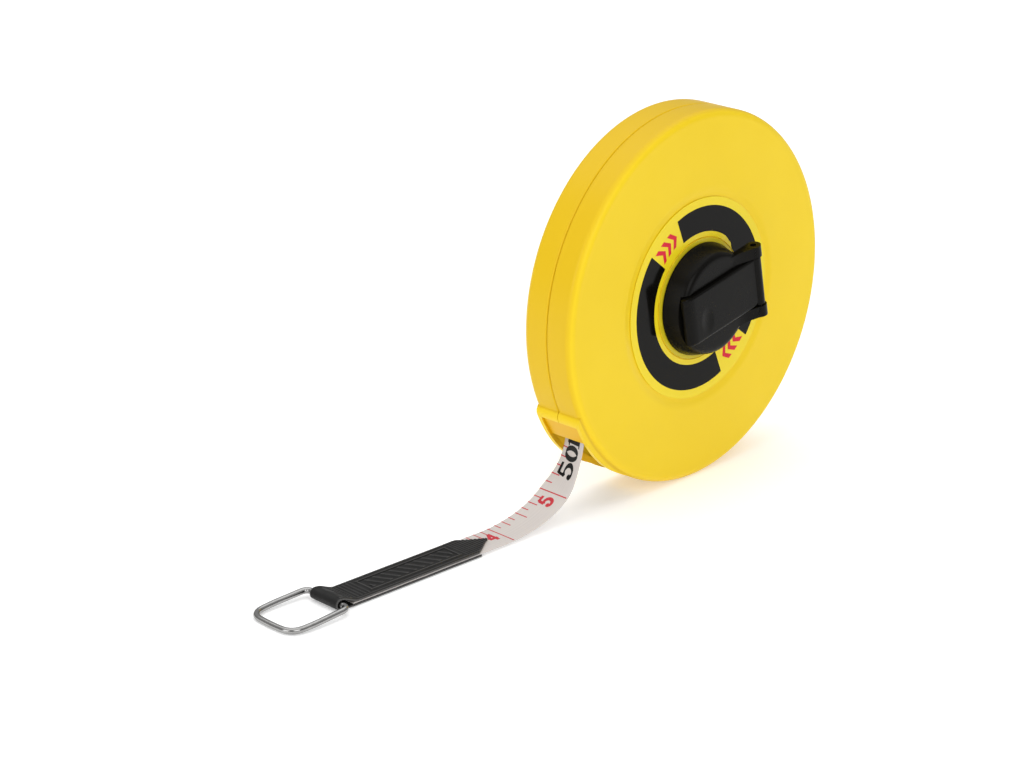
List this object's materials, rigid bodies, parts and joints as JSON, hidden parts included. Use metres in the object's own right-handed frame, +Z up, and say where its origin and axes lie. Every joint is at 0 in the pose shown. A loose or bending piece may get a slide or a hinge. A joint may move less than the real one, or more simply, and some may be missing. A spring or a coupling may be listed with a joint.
{
  "type": "closed-reel tape measure",
  "caption": "Yellow closed-reel fibreglass tape measure with a black folding crank, its tape end lying out in a black sleeve with a wire ring.",
  "frame": {"origin": "centre of the flat rear face, on the reel's axis", "axes": "+Y out of the rear face along the reel's axis, +Z up as the case stands on its rim, +X away from the tape's free end"},
  "size_m": [0.2418, 0.0361, 0.1258],
  "materials": {
    "case_yellow": "satin moulded",
    "label_yellow": "glossy print",
    "crank_black": "semi-gloss moulded",
    "knob_black": "matte moulded",
    "sleeve_black": "embossed soft plastic",
    "tape_white": "coated fibreglass",
    "reel_plastic": "moulded",
    "bush_brass": "turned",
    "plated_steel": "zinc plated",
    "polished_steel": "polished"
  },
  "bodies": {
    "case": {"front_case": "case_yellow", "rear_case": "case_yellow", "front_label": "label_yellow", "rear_label": "label_yellow", "tape_blade": "tape_white", "hub_screw": "plated_steel", "hub_washer": "plated_steel", "reel_bush": "bush_brass", "case_screw_1": "plated_steel", "case_screw_2": "plated_steel", "case_screw_3": "plated_steel", "case_screw_4": "plated_steel", "case_screw_5": "plated_steel"},
    "crank": {"crank_hub": "crank_black", "lever_pin": "plated_steel", "spool_core": "reel_plastic", "spool_front_flange": "reel_plastic", "spool_rear_flange": "reel_plastic", "tape_coil": "tape_white", "tape_anchor": "plated_steel"},
    "lever": {"crank_lever": "crank_black", "knob_screw": "plated_steel"},
    "knob": {"crank_knob": "knob_black"},
    "tape_end": {"tape_sleeve": "sleeve_black"},
    "ring": {"hook_ring": "polished_steel"}
  },
  "joints": [
    {"name": "crank_turn", "type": "hinge", "parent": "case", "child": "crank", "pos_m": [0, -0.0103, 0], "axis": [0, -1, 0], "continuous": true},
    {"name": "lever_fold", "type": "hinge", "parent": "crank", "child": "lever", "pos_m": [0.01924, -0.0288, 0.00374], "axis": [-0.1908, 0, 0.9816], "range_deg": [0, 180]},
    {"name": "knob_spin", "type": "hinge", "parent": "lever", "child": "knob", "pos_m": [-0.0054, -0.0206, -0.00105], "axis": [0, -1, 0], "continuous": true},
    {"name": "tape_pull", "type": "slide", "parent": "case", "child": "tape_end", "axis": [-0.9992, 0.0401, 0], "range_m": [0, 0.045]},
    {"name": "ring_swing", "type": "hinge", "parent": "tape_end", "child": "ring", "pos_m": [-0.1555, -0.00658, -0.0608], "axis": [0.0401, 0.9992, 0], "range_deg": [0, 165]}
  ]
}
